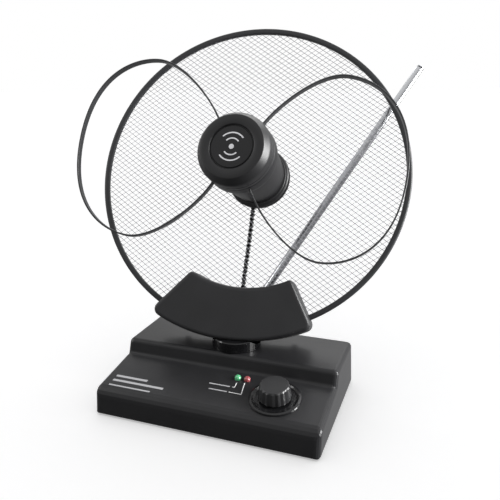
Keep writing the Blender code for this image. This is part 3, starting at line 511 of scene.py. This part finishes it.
HUB_STEPS = 128
HUB_FRONT = 78.2
EMBLEM_LEVEL, EMBLEM_RADIUS = 77.6, 15.8
MARK_LOW, MARK_HIGH = 0.01, 0.10        # over the emblem's face
MARK_RADII, MARK_HALF, MARK_SPREAD = (6.2, 10.4), 0.5, 48
MARK_STEPS, DOT_RADIUS = 20, 1.9
EMBLEM_STEPS, DOT_STEPS = 64, 32


def loop_path(side):
    """One loop's line, from inside the hub and back: side is -1 for the left and 1 for the right."""
    half = bezier(LOOP_START, LOOP_LEAVE, LOOP_TOP + LOOP_BEFORE_TOP, LOOP_TOP, LOOP_STEPS)
    half += bezier(LOOP_TOP, LOOP_TOP + LOOP_AFTER_TOP, LOOP_FAR + LOOP_BEFORE_FAR, LOOP_FAR, LOOP_STEPS)[1:]
    line = half + [(x, -y) for x, y in half[::-1]][1:]
    tangent = (LOOP_LEAVE - LOOP_START).normalized()
    line.append((line[-1][0] - tangent.x * LOOP_TAIL, line[-1][1] + tangent.y * LOOP_TAIL))
    return [(side * x, y + LOOP_DROOP) for x, y in line]


def add_loops():
    """Two flat strips, deep towards the reflector, with small bevels."""
    half, deep, edge = STRIP_HALF, STRIP_DEEP, STRIP_EDGE
    section = [(half, deep - edge), (half, edge - deep), (half - edge, -deep), (edge - half, -deep),
               (-half, edge - deep), (-half, deep - edge), (edge - half, deep), (half - edge, deep)]
    section = [(across, level + LOOP_PLANE) for across, level in section]
    for side, name in ((-1, "left"), (1, "right")):
        mesh = sweep(loop_path(side), section, LOOPS, f"ear_{name}")
        piece(f"ear_{name}", mesh, "ear", "loop_head", (f"loop_{name}",), smooth_angle=25)


def add_cap():
    """The hub's front: a recess for the emblem, a flat face, a long chamfer and a grooved skirt."""
    front = HUB_FRONT
    recess = [(0, front - 1.4), (16.4, front - 1.4), (17.0, front - 0.15), (17.3, front)]
    face = [(24.0, front), (24.15, front - 0.06), (24.35, front - 0.30), (24.48, front - 0.49)]
    chamfer = [(27.2, front - 4.52), (27.4, front - 4.85), (27.7, front - 5.5), (28.05, front - 6.8)]
    groove = [(28.2, 67.0), (27.9, 66.8), (27.9, 66.2), (28.2, 66.0)]
    skirt = [(28.3, 62.9), (28.0, 62.6)]
    inside = [(25.7, 62.6), (24.6, front - 6.4), (0, front - 6.4)]
    mesh = lathe(recess + face + chamfer + groove + skirt + inside, HEAD, HUB_STEPS, "cap")
    piece("cap", mesh, "hub", "loop_head", ("hub_cap",))


def add_barrel():
    """The hub's turning body, stepped in behind the loops and narrowing to the collar."""
    band = [(25.9, 62.3), (28.0, 62.3), (28.3, 62.0), (28.5, 54.7)]
    step = [(28.2, 53.0), (27.7, 52.2), (26.5, 50.4), (26.2, 49.6)]
    taper = [(26.0, 46.0), (24.6, 28.0), (23.4, 14.0), (22.8, 7.4)]
    foot = [(22.2, 6.6), (6.2, 6.6)]
    inside = [(6.2, 9.2), (20.4, 9.2), (22.2, 28.0), (23.8, 50.0)]
    mesh = lathe(band + step + taper + foot + inside, HEAD, HUB_STEPS, "hub_barrel")
    # Painted shade: the barrel wears a darker, less shiny copy of the hub's plastic
    piece("hub_barrel", mesh, "hub_side_painted_shade", "loop_head", ("hub_body",))


def add_collar():
    """The fixed collar under the hub: its leaning upper part, and its foot flat on the reflector."""
    sleeve = [(2.4, 15.0), (5.8, 15.0), (5.8, 6.2)]
    shoulder = [(23.0, 6.2), (23.6, 6.0), (24.0, 5.2), (25.0, 4.9), (25.6, 4.5), (26.0, 3.7)]
    under = [(26.0, 2.95), (6.0, 2.95), (6.0, 2.0), (2.4, 2.0)]
    mesh = lathe(sleeve + shoulder + under, HUB, HUB_STEPS, "hub_collar")
    piece("hub_collar", mesh, "hub", "dish", ("hub_flange",))
    foot = [(2.4, 2.9), (26.0, 2.9), (26.0, 0.6), (6.0, 0.6), (6.0, -5.0), (2.4, -5.0)]
    mesh = lathe(foot, HUB_BASE, HUB_STEPS, "hub_collar_foot")
    piece("hub_collar_foot", mesh, "hub", "dish")


def add_emblem():
    """A plain disc with a dot and two pairs of arcs, like spreading waves."""
    level = EMBLEM_LEVEL
    disc = [(0, level), (EMBLEM_RADIUS - 0.4, level), (EMBLEM_RADIUS, level - 0.3),
            (EMBLEM_RADIUS, level - 0.5), (0, level - 0.5)]
    mesh = lathe(disc, HEAD, EMBLEM_STEPS, "emblem_disc")
    piece("emblem_disc", mesh, "emblem", "loop_head", ("hub_emblem",))
    low, high = level + MARK_LOW, level + MARK_HIGH
    bm = bmesh.new()
    for middle in (90, 270):
        for radius in MARK_RADII:
            inner, outer = (arc(radius + side * MARK_HALF, middle - MARK_SPREAD, middle + MARK_SPREAD,
                                MARK_STEPS) for side in (-1, 1))
            skin(bm, [[bm.verts.new((x * MM, y * MM, z * MM))
                       for (x, y), z in ((near, low), (far, low), (far, high), (near, high))]
                      for near, far in zip(inner, outer)])
    bmesh.ops.create_cone(bm, cap_ends=True, segments=DOT_STEPS, radius1=DOT_RADIUS * MM,
                          radius2=DOT_RADIUS * MM, depth=(high - low) * MM,
                          matrix=shift(0, 0, (low + high) / 2))
    piece("emblem_waves", placed(bm, HEAD, "emblem_waves"), "emblem_mark", "loop_head")


# ---------------------------------------------------------------- panel prints and cable

PRINT_LOW, PRINT_HIGH = 0.02, 0.07      # over the panel's face

# Each stroke has its two ends on the panel and half its width
TICKS = [((31.9, 18.7), (36.7, 20.0), 0.35), ((33.9, 15.3), (37.9, 16.4), 0.35),
         ((36.3, 12.7), (40.3, 13.8), 0.35)]
LEADS = [((14.8, 34.6), (15.1, 29.6), 0.25), ((15.1, 29.6), (13.3, 29.1), 0.25),
         ((20.6, 36.2), (22.7, 23.0), 0.25), ((22.7, 23.0), (12.9, 23.2), 0.25)]
LABELS = [((-5.2, 29.2), (11.4, 29.2), 0.55), ((-3.0, 23.2), (11.4, 23.2), 0.55)]
BARS = [((-79.0, 18.6), (-52.0, 18.6), 1.1), ((-79.0, 13.4), (-36.0, 13.4), 1.1),
        ((-79.0, 7.6), (-44.0, 7.6), 0.7)]

CABLE_TOP, CABLE_FOOT = Vector((3.6, -15.0, -4.5)), Vector((0.4, -101.8, -4.2))
CABLE_PITCH, CABLE_SAG = 6.4, 1.6
STRAND_OFFSET, STRAND_RADIUS = 1.0, 1.15
CABLE_STEPS, STRAND_SIDES = 280, 8


def bar(bm, first, last, half):
    """A flat stroke between two places on the panel."""
    first, last = Vector((*first, 0)), Vector((*last, 0))
    along = (last - first).normalized()
    across = Vector((-along.y, along.x, 0)) * half
    ring = [first + across, first - across, last - across, last + across]
    skin(bm, [[bm.verts.new((spot + Vector((0, 0, level))) * MM) for spot in ring]
              for level in (PRINT_LOW, PRINT_HIGH)])


def add_print(name, look, strokes):
    bm = bmesh.new()
    for first, last, half in strokes:
        bar(bm, first, last, half)
    piece(name, placed(bm, PANEL, name), look, "base", smooth_angle=0)


def add_prints():
    """Plain strokes in the places of the printed marks: no letters."""
    add_print("panel_ticks", "print", TICKS)
    add_print("panel_leads", "print", LEADS)
    add_print("panel_labels", "print_grey", LABELS)
    add_print("panel_bars", "print_grey", BARS)


def cable_middle(t):
    """The cable's middle line, from the rear cap (t = 0) to the cradle (t = 1), sagging backwards."""
    ease = t * t * (3 - 2 * t)
    sag = CABLE_SAG * math.sin(math.pi * t) ** 2
    return Vector((CABLE_TOP.x + (CABLE_FOOT.x - CABLE_TOP.x) * ease,
                   CABLE_TOP.y + (CABLE_FOOT.y - CABLE_TOP.y) * t,
                   CABLE_TOP.z + (CABLE_FOOT.z - CABLE_TOP.z) * ease - sag))


def add_cable():
    """A twisted pair behind the screen, from the hub's rear cap down into the cradle."""
    bm = bmesh.new()
    outline = [Vector((x, 0, z)) for x, z in arc(STRAND_RADIUS, 0, 360, STRAND_SIDES)[:-1]]
    for strand in (0, 1):
        rows = []
        for index in range(CABLE_STEPS + 1):
            middle = cable_middle(index / CABLE_STEPS)
            angle = (CABLE_TOP.y - middle.y) / CABLE_PITCH * math.tau + strand * math.pi
            spot = middle + Vector((STRAND_OFFSET * math.cos(angle), 0, STRAND_OFFSET * math.sin(angle)))
            rows.append([bm.verts.new((spot + corner) * MM) for corner in outline])
        skin(bm, rows)
    piece("twisted_cable", placed(bm, DISH, "twisted_cable"), "cable", "dish",
          ("feed_cable",), smooth_angle=60)


# ---------------------------------------------------------------- carried-over nodes

# The nodes that are shown as they are, under the look that each one wears
CARRIED = {
    "case": ["case_top_shell"],
    "cover": ["bottom_cover", "swivel_nut"],
    "cradle": ["cradle_front_shell", "cradle_rear_shell", "rod_bracket", "rod_knuckle"],
    "hub": ["hub_rear_cap"],
    "neck": ["swivel_neck", "power_socket"],
    "knob": ["gain_knob"],
    "bezel": ["knob_bezel"],
    "green": ["led_green"],
    "red": ["led_red"],
    "board": ["circuit_board", "loop_terminal_board"],
    "rubber": [f"foot_{number}" for number in range(1, 5)] + ["grip_pad"],
    "steel": ["ballast_plate", "gain_potentiometer", "potentiometer_nut", "tilt_pin", "cradle_screw_1",
              "cradle_screw_2", "hub_retainer", "rod_retainer", "rod_pin"]
             + [f"cover_screw_{number}" for number in range(1, 5)],
    "nickel": ["coax_output_socket", "external_aerial_socket"],
    "brass": ["potentiometer_shaft"],
    "chrome": [f"rod_section_{number}" for number in range(1, 6)],
}


def dress_nodes():
    """Gives the nodes that are shown as they are their materials."""
    for look, names in CARRIED.items():
        for name in names:
            node = nodes[name]
            node.data.materials.clear()
            node.data.materials.append(LOOKS[look])


# ---------------------------------------------------------------- build

add_camera()
add_studio()
dress_nodes()
add_wires()
add_rim()
add_loops()
add_cap()
add_barrel()
add_collar()
add_emblem()
add_prints()
add_cable()
